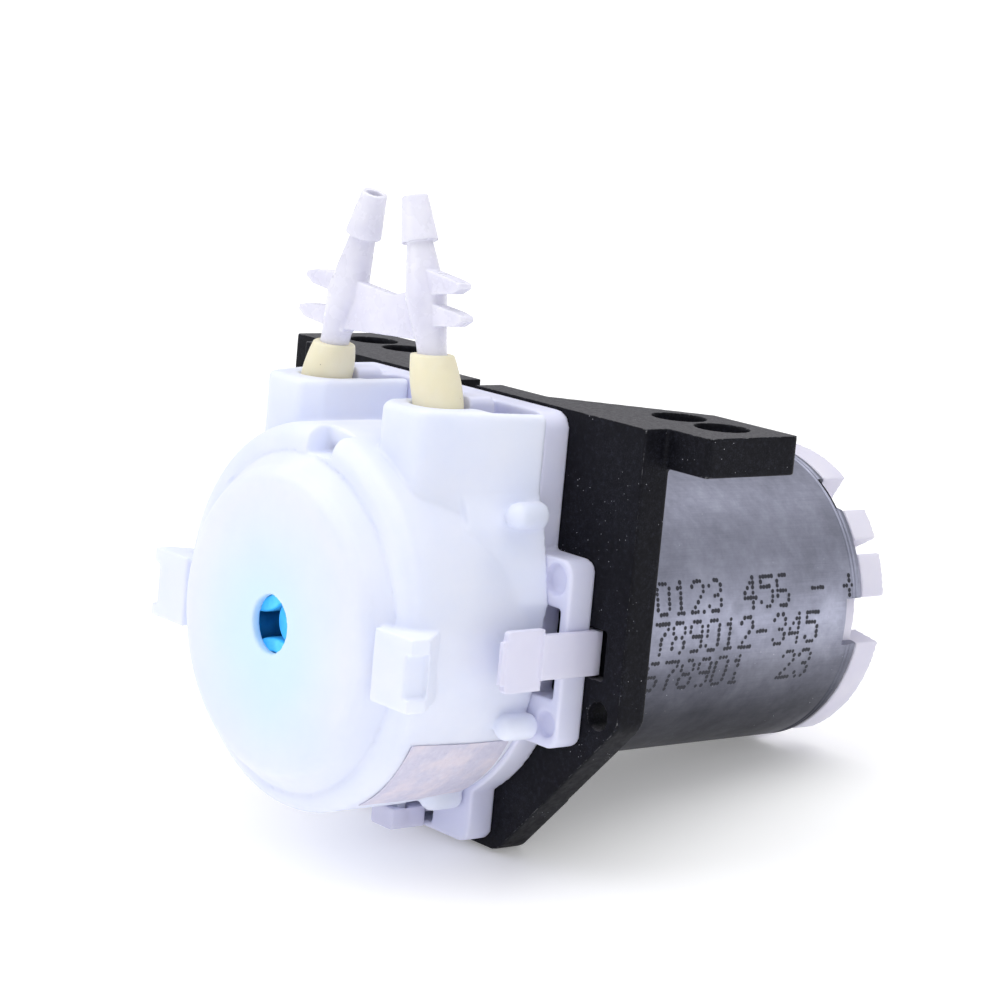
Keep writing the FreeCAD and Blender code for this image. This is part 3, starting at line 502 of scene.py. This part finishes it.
def can_columns():
    """One column a degree, and two at each side of a notch, so that its walls stand straight."""
    columns = []
    for k in range(360):
        degrees = k - 60.0
        inside = [n for n in (DEEP_NOTCH, SHALLOW_NOTCH) if n[0] < degrees < n[1]]
        columns.append((degrees, inside[0][2] if inside else UNCUT))
        for start, end, depth in (DEEP_NOTCH, SHALLOW_NOTCH):
            if degrees < start < degrees + 1:
                columns += [(start, UNCUT), (start, depth)]
            if degrees < end < degrees + 1:
                columns += [(end, depth), (end, UNCUT)]
    return columns


can_mesh = lathe_mesh("can", can_outline(), can_columns())
can = new_piece("motor_can_shell", can_mesh, STEEL, "root", ("motor_can",))
can.data.set_sharp_from_angle(angle=math.radians(40))

GLYPHS = {
    "-": "..... ..... ..... XXXXX ..... ..... .....", "+": "..... ..X.. ..X.. XXXXX ..X.. ..X.. .....",
    "0": ".XXX. X...X X...X X...X X...X X...X .XXX.", "1": "..X.. .XX.. ..X.. ..X.. ..X.. ..X.. .XXX.",
    "2": ".XXX. X...X ....X ...X. ..X.. .X... XXXXX", "3": ".XXX. X...X ....X ..XX. ....X X...X .XXX.",
    "4": "...X. ..XX. .X.X. X..X. XXXXX ...X. ...X.", "5": "XXXXX X.... XXXX. ....X ....X X...X .XXX.",
    "6": ".XXX. X.... X.... XXXX. X...X X...X .XXX.", "7": "XXXXX ....X ...X. ..X.. ..X.. ..X.. ..X..",
    "8": ".XXX. X...X X...X .XXX. X...X X...X .XXX.", "9": ".XXX. X...X X...X .XXXX ....X ....X .XXX.",
}
DOT_PITCH, DOT_ROW_PITCH, GLYPH_PITCH, INK_LIFT = 0.64, 0.84, 3.8, 0.03
# degrees round the can, y of the first character, characters
PRINT_LINES = ((13.2, 23.6, "0123"), (13.2, 43.0, "456"), (13.2, 58.7, "- +"), (-1.4, 23.4, "789012-345"),
               (-16.0, 22.9, "678901"), (-16.0, 53.5, "23"))


def dot_print():
    """Generic dot-matrix marking that follows the can, one small disc of ink for each dot."""
    rng = random.Random(7)
    mesh = bpy.data.meshes.new("print")
    bm = bmesh.new()
    radius = CAN_R + INK_LIFT
    for centre_deg, start_y, text in PRINT_LINES:
        for place, letter in enumerate(text):
            if letter == " ":
                continue
            for row, cells in enumerate(GLYPHS[letter].split()):
                for column, cell in enumerate(cells):
                    if cell == "." or rng.random() < 0.03:
                        continue
                    y = start_y + GLYPH_PITCH * place + DOT_PITCH * column + rng.uniform(-0.06, 0.06)
                    arc = (3 - row) * DOT_ROW_PITCH + rng.uniform(-0.05, 0.05)
                    size = rng.uniform(0.29, 0.38)
                    rim = []
                    for k in range(10):
                        t = math.radians(36 * k)
                        a = math.radians(centre_deg) + (arc + size * 1.15 * math.sin(t)) / CAN_R
                        rim.append(bm.verts.new(at(radius * math.cos(a), y + size * 1.05 * math.cos(t),
                                                   radius * math.sin(a))))
                    bm.faces.new(rim)
    bmesh.ops.recalc_face_normals(bm, faces=bm.faces)
    bm.to_mesh(mesh)
    bm.free()
    return mesh


new_piece("can_dot_print", dot_print(), INK, "root", smooth=False)


# ---------------------------------------------------------------- nodes shown as they are
NODE_FINISH = {
    "carrier_front": CARRIER, "carrier_rear": CARRIER, "drive_sleeve": DEEP_BLUE,
    "carrier_washer": WASHER, "motor_screws": BRIGHT_STEEL, "motor_shaft": BRIGHT_STEEL,
    "front_bearing": BRONZE, "rear_bearing": BRONZE, "magnet_right": FERRITE, "magnet_left": FERRITE,
    "magnet_clip": BRIGHT_STEEL, "armature_core": LAMINATE, "armature_windings": COPPER,
    "commutator": BRASS, "brush_card": CARD, "brush_upper": CARBON, "brush_lower": CARBON,
    "brush_springs": BRIGHT_STEEL, "shaft_washers": BRIGHT_STEEL, "motor_terminals": BRASS,
    "roller_pin_1": BRIGHT_STEEL, "roller_pin_2": BRIGHT_STEEL, "roller_pin_3": BRIGHT_STEEL,
}
for name, material in NODE_FINISH.items():
    NODES[name].data.materials.clear()
    NODES[name].data.materials.append(material)


# ---------------------------------------------------------------- floor, light and camera
def resting_plane():
    """A point and slope of the plane the pump rests on: plate's lower back edge and motor's end."""
    points = np.array([v.co for v in NODES["mounting_bracket"].data.vertices])
    low = points[:, 2].min()
    pivot_y = points[points[:, 2] < low + 0.2 * MM, 1].max()
    cap = np.array([v.co for v in NODES["motor_end_cap"].data.vertices])
    behind = cap[cap[:, 1] > pivot_y + 20 * MM]
    slope = ((behind[:, 2] - low) / (behind[:, 1] - pivot_y)).min()
    return pivot_y, low, slope


FLOOR_HALF_M = 8.0


def make_floor():
    """Wide pale sheet in the resting plane, brighter with distance, which is the backdrop as well."""
    pivot_y, low, slope = resting_plane()
    mesh = bpy.data.meshes.new("floor")
    half, steps = FLOOR_HALF_M, 24
    bm = bmesh.new()
    bmesh.ops.create_grid(bm, x_segments=steps, y_segments=steps, size=half)
    for v in bm.verts:
        v.co.z = low + slope * (v.co.y - pivot_y) - 0.02 * MM
    bm.to_mesh(mesh)
    bm.free()
    floor = bpy.data.objects.new("floor", mesh)
    bpy.context.scene.collection.objects.link(floor)
    f = Finish("pale_floor", Specular_IOR_Level=0.1)
    f.to("Base Color", f.mix(f.span(f.noise(30, 3), 0.3, 0.7), (0.90, 0.90, 0.905), (0.93, 0.93, 0.93)))
    f.shader.inputs["Roughness"].default_value = 0.9
    f.shader.inputs["Emission Color"].default_value = (1, 1, 1, 1)
    flat = f.add("ShaderNodeVectorMath", {0: f.place, 1: (1, 1, 0)}, operation="MULTIPLY").outputs[0]
    far = f.add("ShaderNodeVectorMath", {0: flat}, operation="LENGTH").outputs["Value"]
    f.to("Emission Strength", f.span(far, 0.25, 1.1, 0.23, 0.85))
    mesh.materials.append(f.material)


def softbox(name, spot, target, size, watts, colour=(1, 1, 1)):
    light = bpy.data.lights.new(name, "AREA")
    light.shape = "RECTANGLE"
    light.size, light.size_y = size
    light.energy = watts
    light.color = colour
    lamp = bpy.data.objects.new(name, light)
    bpy.context.scene.collection.objects.link(lamp)
    lamp.location = spot
    lamp.rotation_mode = "QUATERNION"
    lamp.rotation_quaternion = (Vector(target) - Vector(spot)).to_track_quat("-Z", "Y")
    return lamp


def make_light():
    world = bpy.data.worlds.new("studio")
    world.use_nodes = True
    world.node_tree.nodes["Background"].inputs["Color"].default_value = (0.97, 0.98, 1.0, 1)
    world.node_tree.nodes["Background"].inputs["Strength"].default_value = 0.48
    bpy.context.scene.world = world
    middle = at(0, 10, 0)
    softbox("key", at(-260, -420, 420), middle, (0.6, 0.6), 1.8)
    softbox("top", at(60, 60, 620), middle, (0.7, 0.7), 2.7)
    inside = softbox("rotor_fill", at(0, -33.3, 0), at(0, 0, 0), (0.016, 0.016), 0.0007)
    inside.data.shape = "DISK"
    inside.visible_camera = False
    softbox("side", at(560, -200, 260), middle, (0.5, 0.5), 0.45, (0.95, 0.96, 1.0))


CAMERA_AZIMUTH, CAMERA_ELEVATION, CAMERA_ROLL = 50.195, 9.746, 5.237
CAMERA_SPOT = (397.9, -322.0, 107.1)
CAMERA_LENS, CAMERA_SENSOR = 114.81, 36.0


def make_camera():
    """Camera at CAMERA_SPOT, aimed by its azimuth and elevation and rolled about its own axis."""
    a, e, roll = (math.radians(v) for v in (CAMERA_AZIMUTH, CAMERA_ELEVATION, CAMERA_ROLL))
    back = Vector((math.sin(a) * math.cos(e), -math.cos(a) * math.cos(e), math.sin(e)))
    level = Vector((math.cos(a), math.sin(a), 0))
    up = back.cross(level)
    right = math.cos(roll) * level + math.sin(roll) * up
    up = back.cross(right)
    data = bpy.data.cameras.new("camera")
    data.lens, data.sensor_width = CAMERA_LENS, CAMERA_SENSOR
    data.clip_start, data.clip_end = 0.01, 20.0
    camera = bpy.data.objects.new("camera", data)
    bpy.context.scene.collection.objects.link(camera)
    camera.location = at(*CAMERA_SPOT)
    rows = [[right[k], up[k], back[k]] for k in range(3)]
    camera.rotation_mode = "QUATERNION"
    camera.rotation_quaternion = Matrix(rows).to_quaternion()
    bpy.context.scene.camera = camera


make_floor()
make_light()
make_camera()
bpy.context.scene.view_settings.view_transform = "Standard"
